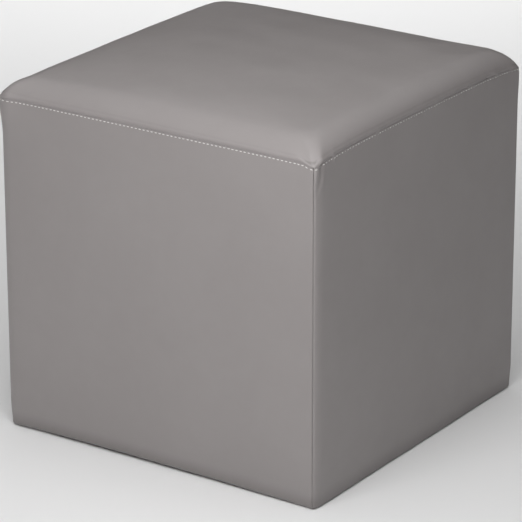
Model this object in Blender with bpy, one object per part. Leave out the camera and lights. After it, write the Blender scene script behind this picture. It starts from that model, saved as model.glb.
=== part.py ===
"""Cube pouf stool: a padded seat sewn to four padded side panels, with a plain bottom.

Metres, +Z up. The origin is the middle of the footprint, on the floor. The front faces -Y.
Run with: blender --background --python part.py
"""

import math
from collections import namedtuple

import bmesh
import bpy
from mathutils import Matrix, Vector

# Overall size
SIDE = 0.400  # width and depth, over the side panels
SEAM_HEIGHT = 0.377  # floor to the seam between the seat and the side panels
SHOULDER_RISE = 0.022  # how far the seat's rolled edge climbs above the seam
SHOULDER_RUN = 0.045  # how far in from the seam it has climbed
CENTRE_RISE = 0.010  # how much further the seat crowns at its middle
CLEARANCE = 0.0003  # between one piece and the next

# Side panels
WALL = 0.024  # board, padding and cover together
CORNER_RADIUS = 0.0066  # upright corners, in plan
PILLOW = 0.0012  # how far the padding fills out the middle of a side
SEAM_ROLL = 0.0026  # radius of the edge that turns into the top seam
JOINT_ROLL = 0.0012  # the same at the upright seams
JOINT_DEPTH = 0.0064  # how far in the upright seams run square to the face, before they turn
HEM_RADIUS = 0.0035  # lower edge, where the cover turns under
HEM_TUCK = 0.0015  # how far the cover is pulled in just above that edge
HEM_BAND = 0.030  # height over which it is pulled in
HEM_LIFT_SKEW = 0.7  # below 1, a lifted hem is highest left of its middle

# Top seam: it is pulled down at the corners, and the stuffing pushes it out beyond the sides
DIP = 0.0018  # close to the corner
DIP_START = 0.002  # how far from the corner the seam begins to rise again
DIP_REACH = 0.034  # over what length it rises
WIDE_DIP = 0.0005  # further along the side
WIDE_DIP_REACH = 0.060
LIFT_POWER = 4  # of the arch of a lifted seam: 2 is round, and more is flatter in the middle
LIFT_REACH = 0.100  # how far a lifted seam raises the seat, in from the side
FLARE_ALONG = 0.028  # how far the corner flare runs along a side
FLARE_DOWN = 0.042  # and down it
FLARE_UP = 0.007  # and up the seat's edge

# Seat
SHOULDER_POWER = 1.54  # 2 is a quarter ellipse, and less is a slacker roll
DOME_POWER = 3  # 2 is a round dome, and more is a flatter seat
SHOULDER_CORNER = 0.034  # corner radius of the seat's outline at the top of the shoulder
LAST_RING = 0.014  # half the width of the innermost outline, which closes on the middle
SEAT_ROLL = 0.0022  # the seat's edge stands this far above the seam at its widest

# Bottom
BASE_THICKNESS = 0.012

# Finish
LEATHER = (0.27, 0.255, 0.247)
LEATHER_ROUGHNESS = 0.42
UNDERSIDE_CLOTH = (0.03, 0.03, 0.032)
CLOTH_ROUGHNESS = 0.9

# Mesh
CORNER_STEPS = 4
SIDE_STEPS = 9
SHOULDER_STEPS = 8
CROWN_STEPS = 5
ROLL_STEPS = 3
RIM_STEPS = 4  # across the top of the side panels, and the seat's underside over them
HEM_ROWS = (0.4, 0.65, 1.0)  # rows of points up the side, as shares of the hem band
FACE_ROWS = (0.25, 0.5, 0.75, 1.0)  # of the open face above it
FLARE_ROWS = (0.3, 0.55, 0.8)  # and of the flared band under the seam
JOINT_ROWS = (0.0, 0.4, 1.0)  # beside an upright seam, as shares of its roll

HALF = SIDE / 2

# Each panel is a quarter turn on from the one before. It wraps round the corner at its left,
# where the top seam flares out by corner_flare. Its lower edge arches up by hem_lift, its seam by
# seam_lift.
Panel = namedtuple("Panel", "name corner_flare hem_lift seam_lift")
PANELS = (
    Panel("side_panel_front", corner_flare=0.0034, hem_lift=0.0028, seam_lift=0.0),
    Panel("side_panel_right", corner_flare=0.0014, hem_lift=0.0, seam_lift=0.0045),
    Panel("side_panel_back", corner_flare=0.0012, hem_lift=0.0, seam_lift=0.0),
    Panel("side_panel_left", corner_flare=0.0014, hem_lift=0.0, seam_lift=0.0),
)


def clear_scene():
    for obj in list(bpy.data.objects):
        bpy.data.objects.remove(obj, do_unlink=True)


def principled(name, color, roughness):
    material = bpy.data.materials.new(name)
    material.use_nodes = True
    shader = material.node_tree.nodes["Principled BSDF"]
    shader.inputs["Base Color"].default_value = (*color, 1.0)
    shader.inputs["Roughness"].default_value = roughness
    shader.inputs["Metallic"].default_value = 0.0
    return material


def add_object(name, bm, material, turn=0.0):
    bmesh.ops.recalc_face_normals(bm, faces=bm.faces)
    mesh = bpy.data.meshes.new(name)
    bm.to_mesh(mesh)
    bm.free()
    mesh.materials.append(material)
    mesh.shade_smooth()
    mesh.set_sharp_from_angle(angle=math.radians(50))
    obj = bpy.data.objects.new(name, mesh)
    obj.matrix_world = Matrix.Rotation(turn, 4, "Z")
    bpy.context.scene.collection.objects.link(obj)
    return obj


def skin(bm, loops):
    """Faces between neighbouring closed loops of vertices, all of one length."""
    for lower, upper in zip(loops, loops[1:]):
        count = len(lower)
        for i in range(count):
            j = (i + 1) % count
            bm.faces.new((lower[i], lower[j], upper[j], upper[i]))


def fade(distance, reach):
    """1 at no distance, falling smoothly to 0 at reach."""
    share = min(max(distance / reach, 0.0), 1.0)
    return (1 - share) ** 2 * (1 + 2 * share)


def side_shares():
    """Places along a side, closer together near the corners, where the flare and the dip are."""
    return [0.5 - 0.5 * math.cos(math.pi * k / SIDE_STEPS) for k in range(1, SIDE_STEPS)]


def turned(point, quarter_turns):
    """A point of the plan, turned anticlockwise about the middle of the stool."""
    return Matrix.Rotation(quarter_turns * math.pi / 2, 2) @ Vector(point)


def seam_height(point):
    """Height of the top seam over a point of the plan: low at the corners, arched where it is lifted."""
    from_corner = math.hypot(HALF - abs(point[0]), HALF - abs(point[1]))
    height = SEAM_HEIGHT - DIP * fade(from_corner - DIP_START, DIP_REACH)
    height -= WIDE_DIP * math.exp(-from_corner / WIDE_DIP_REACH)
    for index, panel in enumerate(PANELS):
        across, depth = turned(point, -index)
        arch = 1 - min(abs(across) / HALF, 1.0) ** LIFT_POWER
        height += panel.seam_lift * arch * fade(HALF + depth, LIFT_REACH)
    return height


# ---------------------------------------------------------------- side panels

# A station is one upright section of a panel: its plan runs from the outer point in to the middle one,
# square to the face, and from there to the inner one.
Station = namedtuple("Station", "outer middle inner normal along from_corner from_next")


def panel_stations():
    """The sections of the front panel: round the corner at its left, then along to the upright seam."""
    arc_length = CORNER_RADIUS * math.pi / 2
    straight = SIDE - 2 * CORNER_RADIUS
    total = arc_length + straight
    steps = [JOINT_ROLL * share for share in JOINT_ROWS]
    steps += [arc_length * k / CORNER_STEPS for k in range(1, CORNER_STEPS + 1)]
    steps += [arc_length + straight * share for share in side_shares()]
    steps += [total - JOINT_ROLL * share for share in reversed(JOINT_ROWS)]

    centre = Vector((-HALF + CORNER_RADIUS, -HALF + CORNER_RADIUS))
    inner_start = Vector((-HALF + WALL, -HALF + WALL))
    inner_end = Vector((HALF - WALL, -HALF + WALL))
    stations = []
    for along in steps:
        if along <= arc_length:
            angle = math.pi + along / CORNER_RADIUS
            normal = Vector((math.cos(angle), math.sin(angle)))
            outer = centre + normal * CORNER_RADIUS
            shift = Vector((0.0, -CLEARANCE / 2)) * (1 - along / arc_length)
        else:
            normal = Vector((0.0, -1.0))
            outer = Vector((-HALF + CORNER_RADIUS + along - arc_length, -HALF))
            shift = Vector((-CLEARANCE / 2 if along == total else 0.0, 0.0))
        inner = inner_start.lerp(inner_end, along / total)
        stations.append(
            Station(
                outer=outer + shift,
                middle=outer - normal * JOINT_DEPTH + shift,
                inner=inner + shift * math.sqrt(2),
                normal=normal,
                along=along / total,
                from_corner=abs(along - arc_length / 2),
                from_next=total - along + arc_length / 2,
            )
        )
    return stations


def joint_inset(station, length):
    """How far the cover's edge rolls in beside an upright seam."""
    from_joint = min(station.along, 1 - station.along) * length
    share = max(0.0, 1 - from_joint / JOINT_ROLL)
    return JOINT_ROLL * (1 - math.sqrt(max(0.0, 1 - share * share)))


def panel_section(station, index, length):
    """The points of one upright section, from the inner foot under the hem and up the outside."""
    panel = PANELS[index]
    next_panel = PANELS[(index + 1) % len(PANELS)]
    skewed = station.along**HEM_LIFT_SKEW
    foot = panel.hem_lift * 4 * skewed * (1 - skewed)
    top = seam_height(turned(station.outer, index)) - CLEARANCE / 2
    edge = joint_inset(station, length)

    rows = []  # (height, how far in from the flat of the side)
    for k in range(ROLL_STEPS + 1):
        angle = math.pi / 2 * k / ROLL_STEPS
        height = foot + HEM_RADIUS * (1 - math.cos(angle))
        rows.append((height, HEM_RADIUS * (1 - math.sin(angle))))
    rows += [(HEM_BAND * share, 0.0) for share in HEM_ROWS]
    open_face = top - FLARE_DOWN - HEM_BAND
    rows += [(HEM_BAND + open_face * share, 0.0) for share in FACE_ROWS]
    rows += [(top - FLARE_DOWN * (1 - share), 0.0) for share in FLARE_ROWS]
    for k in range(ROLL_STEPS + 1):
        angle = math.pi / 2 * k / ROLL_STEPS
        rows.append((top - SEAM_ROLL * (1 - math.sin(angle)), SEAM_ROLL * (1 - math.cos(angle))))

    points = [Vector((*station.inner, foot)), Vector((*station.middle, foot))]
    for height, inset in rows:
        tuck = HEM_TUCK * fade(height - foot, HEM_BAND)
        share_up = min(max(height / top, 0.0), 1.0)
        across = 2 * station.along - 1
        pillow = PILLOW * math.sin(math.pi * share_up) * (1 - across**4)
        flare = panel.corner_flare * fade(station.from_corner, FLARE_ALONG)
        flare += next_panel.corner_flare * fade(station.from_next, FLARE_ALONG)
        flare *= fade(top - height, FLARE_DOWN)
        out = pillow + flare - tuck - inset - edge
        place = station.outer + station.normal * out
        points.append(Vector((*place, height)))
    for k in range(RIM_STEPS):
        place = station.middle.lerp(station.inner, k / (RIM_STEPS - 1))
        points.append(Vector((*place, seam_height(turned(place, index)) - CLEARANCE / 2)))
    return points


def close_end(bm, section):
    """The two flat faces of an upright seam, outside its middle line and inside it."""
    inner_foot, middle_foot, middle_top = section[0], section[1], section[-RIM_STEPS]
    bm.faces.new(section[1 : 1 - RIM_STEPS])
    bm.faces.new([inner_foot, middle_foot, middle_top, *section[1 - RIM_STEPS :]])


def make_side_panel(index, material):
    length = SIDE - 2 * CORNER_RADIUS + CORNER_RADIUS * math.pi / 2
    bm = bmesh.new()
    loops = []
    for station in panel_stations():
        section = panel_section(station, index, length)
        loops.append([bm.verts.new(point) for point in section])
    skin(bm, loops)
    close_end(bm, loops[0])
    close_end(bm, loops[-1])
    bmesh.ops.triangulate(bm, faces=[face for face in bm.faces if len(face.verts) > 4])
    return add_object(PANELS[index].name, bm, material, turn=index * math.pi / 2)


# ----------------------------------------------------------------------- seat


def seat_outline(inset, radius):
    """Points round a square with rounded corners, and for each its outward normal.

    It starts at the front left corner and runs anticlockwise, seen from above.
    """
    half = HALF - inset
    radius = min(radius, half)
    found = []
    for corner in range(4):
        centre = Vector((-half + radius, -half + radius))
        for k in range(CORNER_STEPS + 1):
            angle = math.pi + math.pi / 2 * k / CORNER_STEPS
            normal = Vector((math.cos(angle), math.sin(angle)))
            found.append((turned(centre + normal * radius, corner), turned(normal, corner)))
        straight = 2 * (half - radius)
        for share in side_shares():
            point = Vector((-half + radius + straight * share, -half))
            found.append((turned(point, corner), turned((0.0, -1.0), corner)))
    return found


def corner_flare(x, y, above_seam):
    """How far the nearest corner's flare pushes the seat's edge out."""
    corners = {(False, False): 0, (True, False): 1, (True, True): 2, (False, True): 3}
    nearest = PANELS[corners[(x > 0, y > 0)]]
    from_corner = max(HALF - abs(x), HALF - abs(y))
    along = fade(from_corner - CORNER_RADIUS / 3, FLARE_ALONG)
    return nearest.corner_flare * along * fade(above_seam, FLARE_UP)


def crown(x, y, inset):
    """Height of the seat above the seam, at a point this far in from its widest line."""
    share = min(inset / SHOULDER_RUN, 1.0)
    shoulder = (1 - (1 - share) ** SHOULDER_POWER) ** (1 / SHOULDER_POWER)
    dome = (1 - abs(x / HALF) ** DOME_POWER) * (1 - abs(y / HALF) ** DOME_POWER)
    return SEAT_ROLL + (SHOULDER_RISE - SEAT_ROLL) * shoulder + CENTRE_RISE * dome * share


def seat_ring(bm, inset, radius, height_of):
    """A ring of vertices; height_of gives the height above the seam at a plan point."""
    ring = []
    for point, normal in seat_outline(inset, radius):
        above = height_of(point.x, point.y)
        place = point + normal * corner_flare(point.x, point.y, above)
        ring.append(bm.verts.new((*place, seam_height(point) + CLEARANCE / 2 + above)))
    return ring


def make_seat(material):
    bm = bmesh.new()
    loops = []
    for k in range(RIM_STEPS):
        inset = WALL + (SEAM_ROLL - WALL) * k / RIM_STEPS
        loops.append(seat_ring(bm, inset, CORNER_RADIUS, lambda x, y: 0.0))
    for k in range(ROLL_STEPS + 1):
        angle = math.pi / 2 * k / ROLL_STEPS
        inset = SEAM_ROLL * (1 - math.sin(angle))
        above = SEAT_ROLL * (1 - math.cos(angle))
        loops.append(seat_ring(bm, inset, CORNER_RADIUS, lambda x, y: above))

    insets = []
    for k in range(1, SHOULDER_STEPS + 1):
        insets.append(SHOULDER_RUN * (1 - math.cos(math.pi / 2 * k / SHOULDER_STEPS)))
    for k in range(1, CROWN_STEPS + 1):
        insets.append(SHOULDER_RUN + (HALF - LAST_RING - SHOULDER_RUN) * k / CROWN_STEPS)
    for inset in insets:
        share = min(inset / SHOULDER_RUN, 1.0)
        radius = CORNER_RADIUS + (SHOULDER_CORNER - CORNER_RADIUS) * share
        loops.append(seat_ring(bm, inset, radius, lambda x, y: crown(x, y, inset)))
    skin(bm, loops)

    middle_below = bm.verts.new((0.0, 0.0, SEAM_HEIGHT + CLEARANCE / 2))
    middle_above = bm.verts.new((0.0, 0.0, SEAM_HEIGHT + crown(0.0, 0.0, HALF)))
    for ring, middle in ((loops[0], middle_below), (loops[-1], middle_above)):
        for i, vertex in enumerate(ring):
            bm.faces.new((vertex, ring[(i + 1) % len(ring)], middle))
    return add_object("top_panel", bm, material)


# --------------------------------------------------------------------- bottom


def make_base(material):
    """A plain square board, level with the foot of the side panels."""
    width = SIDE - 2 * WALL - 2 * CLEARANCE
    bm = bmesh.new()
    bmesh.ops.create_cube(bm, size=1.0)
    bmesh.ops.scale(bm, verts=bm.verts, vec=(width, width, BASE_THICKNESS))
    bmesh.ops.translate(bm, verts=bm.verts, vec=(0.0, 0.0, BASE_THICKNESS / 2))
    return add_object("base_panel", bm, material)


def main():
    clear_scene()
    for index, panel in enumerate(PANELS):
        make_side_panel(index, principled(panel.name + "_cover", LEATHER, LEATHER_ROUGHNESS))
    make_seat(principled("seat_cover", LEATHER, LEATHER_ROUGHNESS))
    make_base(principled("underside_cloth", UNDERSIDE_CLOTH, CLOTH_ROUGHNESS))


main()
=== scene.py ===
"""Looks of the cube pouf stool: leather-like covers, seams, stitches and the cloth underneath.

Metres, +Z up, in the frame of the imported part. The front face looks along -Y, the right along +X.
"""

import math
from collections import namedtuple

import bmesh
import bpy
import numpy as np
from mathutils import Matrix, Vector


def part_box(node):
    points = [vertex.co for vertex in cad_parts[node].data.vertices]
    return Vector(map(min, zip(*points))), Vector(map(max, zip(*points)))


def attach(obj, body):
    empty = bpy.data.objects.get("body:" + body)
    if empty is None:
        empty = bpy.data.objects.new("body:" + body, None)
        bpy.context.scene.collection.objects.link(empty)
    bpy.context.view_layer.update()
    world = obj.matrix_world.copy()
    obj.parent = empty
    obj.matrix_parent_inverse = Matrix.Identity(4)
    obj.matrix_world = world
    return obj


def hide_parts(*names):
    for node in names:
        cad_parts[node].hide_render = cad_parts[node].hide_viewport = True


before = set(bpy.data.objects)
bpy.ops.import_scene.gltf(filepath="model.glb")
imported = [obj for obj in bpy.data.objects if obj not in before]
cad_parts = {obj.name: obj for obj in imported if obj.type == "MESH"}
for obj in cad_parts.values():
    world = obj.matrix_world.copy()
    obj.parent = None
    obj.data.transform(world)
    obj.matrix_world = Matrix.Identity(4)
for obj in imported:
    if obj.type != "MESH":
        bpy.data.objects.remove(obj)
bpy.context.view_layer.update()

# ------------------------------------------------------------------------------------- sizes

MM = 0.001
TINY = 1e-9  # keeps divisors off zero
TINY_AREA = 1e-12

# Overall, as in the frame
SIDE = 400 * MM
HALF = SIDE / 2
SEAM_HEIGHT = 377 * MM
WALL = 24 * MM  # board, padding and cover of a side panel together

# Upright corners: the cover turns sharply at the seam, then slowly round the padding
CornerArc = namedtuple("CornerArc", "radius start end")
CORNER_ARCS = (
    CornerArc(radius=3.6 * MM, start=math.radians(25), end=math.radians(66)),
    CornerArc(radius=26 * MM, start=math.radians(66), end=math.radians(90)),
)
CORNER_RUN = sum(arc.radius * (math.sin(arc.end) - math.sin(arc.start)) for arc in CORNER_ARCS)
CORNER_REACH = sum(arc.radius * (math.cos(arc.start) - math.cos(arc.end)) for arc in CORNER_ARCS)
ARC_LENGTH = sum(arc.radius * (arc.end - arc.start) for arc in CORNER_ARCS)
PANEL_LENGTH = ARC_LENGTH + SIDE - CORNER_REACH - CORNER_RUN
CORNER_ROUND = 9 * MM  # rounding of the seat's outline where it meets the seam
SOFT_CORNER = 12 * MM  # radius round which the stuffing pushes a corner out
JOINT_ROLL = 0.6 * MM  # radius of a cover's edge where it turns into an upright seam
JOINT_GAP = 0.12 * MM  # half the gap between two covers

# Top seam: a short dip and a long sag pull it down at the corners, and a flare pushes it out
SEAM_GAP = 0.03 * MM  # half the gap between the seat's cover and a side cover
SEAM_ROLL = 0.32 * MM  # radius of the covers' edges there
DIP_START = 7 * MM  # how far from the corner the seam begins to rise again
DIP_REACH = 9 * MM  # over what length it rises
DIP_UP = 30 * MM  # how far up the seat's cover a dip can be seen
DIP_SKEW = 1.8  # the dip is so many times shorter on the right and left sides
SAG_REACH = 70 * MM  # how far from the corner the sag ends
LIFT_POWER = 4  # of the arch of a lifted seam: 2 is round, and more is flatter in the middle
LIFT_REACH = 100 * MM  # how far a lifted seam raises the seat, in from the side
FLARE_START = CORNER_RUN / 3  # how far from the corner the flare begins to fall off
FLARE_ALONG = 28 * MM  # over what length it falls off along a side
FLARE_DOWN = 42 * MM  # and down it
FLARE_UP = 9 * MM  # and up the seat's edge
EAR_REACH = 40 * MM  # how far from the corner the seat's ear ends
EAR_UP = 3 * MM  # it rises over about so much of the cover above the seam

# Lower edge
HEM_RADIUS = 3.6 * MM  # where the cover turns under
HEM_TUCK = 1.5 * MM  # how far the cover is pulled in just above that edge
HEM_BAND = 32 * MM  # height over which it is pulled in
HEM_LIFT_SKEW = 0.7  # below 1, a lifted hem is highest left of its middle

# Open face of a side
PILLOW = 1.2 * MM  # how far the padding fills out its middle
PILLOW_POWER = 4  # 2 is round, and more is flatter along the side
LEAN = 1.0 * MM  # how far in the covers lean towards the top seam
LEAN_REACH = 20 * MM  # over what height

# Seat
SHOULDER_RISE = 20 * MM  # how far the rolled edge climbs above the seam
SHOULDER_RUN = 28 * MM  # how far in from the seam it has climbed
SHOULDER_POWER = 1.78  # 2 is a quarter ellipse, and less is a slacker roll
SHOULDER_CORNER_REACH = 60 * MM  # how far in the outline's corners are at their roundest
CENTRE_RISE = 12 * MM  # how much further the seat crowns at its middle
DOME_POWER = 2.4  # 2 is a round dome, and more is a flatter seat
OUTLINE_CHANGE = 5 * MM  # within about so much above the seam, its outline leaves the sides' own

# Stitches
STITCHES = 79  # to a panel
STITCH_PITCH = PANEL_LENGTH / STITCHES
STITCH_BELOW = 2.1 * MM  # under the seam

# Each panel is a quarter turn on from the one before. It wraps round the corner at its left, where
# the top seam is pushed out by flare and pulled down by dip and sag, and where the seat pokes up by
# ear and is rounded by round_corner. Its lower edge arches up by hem_lift and its seam by
# seam_lift. Its small folds are up to about gather deep. Its stitches pull the cover in by pull
# times PULL, and lie about thread_sunk deep in it.
Panel = namedtuple(
    "Panel", "node flare ear dip sag round_corner hem_lift seam_lift gather pull thread_sunk seed"
)
PANELS = (
    Panel(
        "side_panel_front", flare=3.4 * MM, ear=2.4 * MM, dip=0.0, sag=0.4 * MM, round_corner=17 * MM,
        hem_lift=2.8 * MM, seam_lift=0.0, gather=0.1 * MM, pull=1.0, thread_sunk=0.0, seed=11,
    ),
    Panel(
        "side_panel_right", flare=1.4 * MM, ear=0.0, dip=2.2 * MM, sag=0.4 * MM, round_corner=28 * MM,
        hem_lift=0.0, seam_lift=4.5 * MM, gather=1.1 * MM, pull=2.2, thread_sunk=0.3 * MM, seed=12,
    ),
    Panel(
        "side_panel_back", flare=1.2 * MM, ear=0.0, dip=0.4 * MM, sag=0.4 * MM, round_corner=28 * MM,
        hem_lift=0.0, seam_lift=0.0, gather=0.2 * MM, pull=1.3, thread_sunk=0.12 * MM, seed=13,
    ),
    Panel(
        "side_panel_left", flare=1.4 * MM, ear=0.0, dip=0.8 * MM, sag=2.4 * MM, round_corner=42 * MM,
        hem_lift=0.0, seam_lift=0.0, gather=0.15 * MM, pull=1.2, thread_sunk=0.12 * MM, seed=14,
    ),
)


# ----------------------------------------------------------------------------- small helpers


def fade(distance, reach):
    """1 at no distance, falling smoothly to 0 at reach."""
    share = np.clip(distance / reach, 0.0, 1.0)
    return (1 - share) ** 2 * (1 + 2 * share)


def bell(distance, width):
    """1 at no distance, falling off both ways over the width."""
    return np.exp(-((distance / width) ** 2))


def turned(x, y, quarter_turns):
    """Plan points turned round the middle of the stool, anticlockwise from above."""
    for _ in range(quarter_turns % 4):
        x, y = -y, x
    return x, y


def turned_each(x, y, quarter_turns):
    """The same, each point by its own number of turns."""
    for quarter in (1, 2, 3):
        turned_x, turned_y = turned(x, y, quarter)
        own = quarter_turns == quarter
        x, y = np.where(own, turned_x, x), np.where(own, turned_y, y)
    return x, y


# Smooth seeded unevenness, as waves between two lengths
Ripples = namedtuple("Ripples", "depth shortest longest seed", defaults=(0,))
WAVES = 14


def uneven(ripples, x, y, extra_seed=0):
    """Height of the unevenness at points of a plane, mostly within its depth up or down."""
    draw = np.random.default_rng(ripples.seed + extra_seed)
    total = np.zeros(np.broadcast(x, y).shape)
    for _ in range(WAVES):
        length = ripples.shortest * (ripples.longest / ripples.shortest) ** draw.random()
        heading, phase = draw.uniform(0, 2 * math.pi, 2)
        place = x * math.cos(heading) + y * math.sin(heading)
        total += np.cos(2 * math.pi * place / length + phase)
    return ripples.depth * (total / math.sqrt(2 * WAVES))


def spaced(stretches):
    """Places along a line, from (end of the stretch, step) pairs; it starts at 0."""
    places = [0.0]
    for end, step in stretches:
        start = places[-1]
        count = max(1, round((end - start) / step))
        places += [start + (end - start) * k / count for k in range(1, count + 1)]
    return np.array(places)


def spline(values, knots, places):
    """Smooth curve through values at knots along the first axis, read at places."""
    slope = np.gradient(values, knots, axis=0)
    i = np.clip(np.searchsorted(knots, places) - 1, 0, len(knots) - 2)
    shape = (-1,) + (1,) * (values.ndim - 1)
    width = (knots[i + 1] - knots[i]).reshape(shape)
    t = np.clip((places - knots[i]).reshape(shape) / width, 0, 1)
    start = (2 * t**3 - 3 * t**2 + 1) * values[i] + (t**3 - 2 * t**2 + t) * width * slope[i]
    end = (3 * t**2 - 2 * t**3) * values[i + 1] + (t**3 - t**2) * width * slope[i + 1]
    return start + end


def spline_grid(values, rows, columns, row_places, column_places):
    """The same over a grid whose rows and columns lie at the given knots."""
    by_row = spline(values, rows, row_places)
    return np.swapaxes(spline(np.swapaxes(by_row, 0, 1), columns, column_places), 0, 1)


def grid_faces(rows, columns, closed_columns=False):
    """Quads between points that are numbered row by row."""
    number = np.arange(rows * columns).reshape(rows, columns)
    if closed_columns:
        number = np.hstack([number, number[:, :1]])
    corners = (number[:-1, :-1], number[1:, :-1], number[1:, 1:], number[:-1, 1:])
    return np.stack(corners, -1).reshape(-1, 4)


SMOOTH_ANGLE = math.radians(50)


def add_piece(name, points, faces, material, attributes=None):
    mesh = bpy.data.meshes.new(name)
    mesh.from_pydata(points.tolist(), [], [list(face) for face in faces])
    mesh.validate()
    for title, values in (attributes or {}).items():
        attribute = mesh.attributes.new(title, "FLOAT", "POINT")
        attribute.data.foreach_set("value", np.asarray(values, np.float32).ravel())
    bm = bmesh.new()
    bm.from_mesh(mesh)
    bmesh.ops.recalc_face_normals(bm, faces=bm.faces)
    bm.to_mesh(mesh)
    bm.free()
    mesh.materials.append(material)
    mesh.shade_smooth()
    mesh.set_sharp_from_angle(angle=SMOOTH_ANGLE)
    obj = bpy.data.objects.new(name, mesh)
    bpy.context.scene.collection.objects.link(obj)
    return obj


# ------------------------------------------------------------------- where the surfaces lie


def of_corner(x, y, values):
    """The value of the corner nearest to a point of the plan, from those at each panel's left."""
    front_left, front_right, back_right, back_left = values
    front = np.where(x > 0, front_right, front_left)
    back = np.where(x > 0, back_right, back_left)
    return np.where(y > 0, back, front)


def corner_distance(x, y):
    """Distance in plan from the nearest corner."""
    return np.hypot(HALF - abs(x), HALF - abs(y))


def half_width_at(x, y):
    """Half the width of the square, round the middle, that passes through a plan point."""
    return np.maximum(np.maximum(abs(x), abs(y)), TINY)


def from_joint(along):
    """Distance along a panel to the nearer of its two upright seams."""
    return np.minimum(along, PANEL_LENGTH - along)


def seam_height(x, y, spread=0.0):
    """Height of the top seam over a point of the plan: pulled down at the corners, arched between.

    Further up the seat's cover the dips spread out.
    """
    dip = of_corner(x, y, [panel.dip for panel in PANELS])
    skewed = np.hypot(HALF - abs(x), DIP_SKEW * (HALF - abs(y)))
    height = SEAM_HEIGHT - dip * fade(skewed - DIP_START, DIP_REACH + spread)
    sag = of_corner(x, y, [panel.sag for panel in PANELS])
    height = height - sag * fade(corner_distance(x, y), SAG_REACH)
    for index, panel in enumerate(PANELS):
        across, depth = turned(x, y, len(PANELS) - index)
        arch = 1 - np.clip(abs(across) / HALF, 0, 1) ** LIFT_POWER
        height = height + panel.seam_lift * arch * fade(HALF + depth, LIFT_REACH)
    return height


def outward(x, y):
    """The plan direction in which the stuffing pushes the cover out."""
    centre = HALF - SOFT_CORNER
    away_x = np.sign(x) * np.maximum(abs(x) - centre, 0.0)
    away_y = np.sign(y) * np.maximum(abs(y) - centre, 0.0)
    length = np.maximum(np.hypot(away_x, away_y), TINY)
    return away_x / length, away_y / length


def corner_flare(x, y):
    """How far the nearest corner's stuffing pushes the top seam out there."""
    from_corner = np.maximum(HALF - abs(x), HALF - abs(y))
    flare = of_corner(x, y, [panel.flare for panel in PANELS])
    return flare * fade(from_corner - FLARE_START, FLARE_ALONG)


def panel_outline(along):
    """Plan of the front panel's cover: from its upright seam round the corner at its left."""
    x, y, left = -HALF, -HALF + CORNER_RUN, along
    for arc in CORNER_ARCS:
        angle = arc.start + np.clip(left / arc.radius, 0, arc.end - arc.start)
        x = x + arc.radius * (math.cos(arc.start) - np.cos(angle))
        y = y - arc.radius * (np.sin(angle) - math.sin(arc.start))
        left = left - arc.radius * (arc.end - arc.start)
    return x + np.maximum(left, 0), y


# -------------------------------------------------------------------------------- side covers


# The slack at the near corner, which runs down the right side to the upright seam
TUCK_DEPTH = 1.45 * MM
TUCK_DOWN = 38 * MM
TUCK_ALONG = 8.8 * MM  # where its valley begins, at the top seam
TUCK_SLOPE = 0.05  # how the valley nears the upright seam on its way down
TUCK_BEND = 5.0  # and how much faster further down, per metre
TUCK_NEAR_WIDTH = 2.3 * MM  # of the valley, towards the upright seam
TUCK_FAR_WIDTH = 3.2 * MM
LIP_OFF = 5.0 * MM  # from the valley to the lip, which lies nearer the upright seam
LIP_WIDTH = 2.6 * MM
LIP_SHARE = 0.4  # of the valley's depth


def tuck_beside_corner(index, along, below):
    """The slack at the near corner: (its valley, its lip), each from 0 to 1."""
    if PANELS[index].node != "side_panel_right":
        return 0.0, 0.0
    centre = TUCK_ALONG - TUCK_SLOPE * below - TUCK_BEND * below**2
    strength = fade(below, TUCK_DOWN)
    width = np.where(along > centre, TUCK_FAR_WIDTH, TUCK_NEAR_WIDTH)
    return strength * bell(along - centre, width), strength * bell(along - centre + LIP_OFF, LIP_WIDTH)


# Small folds that cross the top seam where the covers were taken in
GATHERS = 15  # to a panel
GATHER_PLACES = (0.2, 0.8)  # each lies so far through its share of the panel
GATHER_SLANT = 0.5  # most that it moves along the seam for each step away from it
GATHER_WIDTH = 2.4 * MM
GATHER_REACH = 11 * MM  # from the seam
GATHER_SEED = 40


def gathers(index, along, from_seam):
    """How far the small folds stand out or in."""
    panel = PANELS[index]
    draw = np.random.default_rng(panel.seed + GATHER_SEED)
    total = 0.0
    for number in range(GATHERS):
        middle = (number + draw.uniform(*GATHER_PLACES)) * PANEL_LENGTH / GATHERS
        slant, depth = draw.uniform(-GATHER_SLANT, GATHER_SLANT), draw.uniform(-1.0, 1.0)
        total = total + depth * bell(along - middle - slant * from_seam, GATHER_WIDTH)
    return panel.gather * total * fade(from_seam, GATHER_REACH)


SIDE_STUFFING = Ripples(depth=0.22 * MM, shortest=60 * MM, longest=190 * MM)
STUFFING_FROM_JOINT = 18 * MM  # it grows over so much beside an upright seam
STUFFING_FROM_SEAM = 30 * MM  # and under the top seam
SIDE_PUCKERS = Ripples(depth=0.10 * MM, shortest=7 * MM, longest=26 * MM, seed=20)
SIDE_PUCKERS_REACH = 12 * MM
PUCKERS_START = 2 * MM  # they grow over about so much beside the seam
PULL = 0.12 * MM  # how far the stitching pulls the cover in, on average
PULL_CHANGE = 0.10 * MM  # more where the thread goes in, and less in the middle of a stitch
PULL_WIDTH = 1.15 * MM


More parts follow.
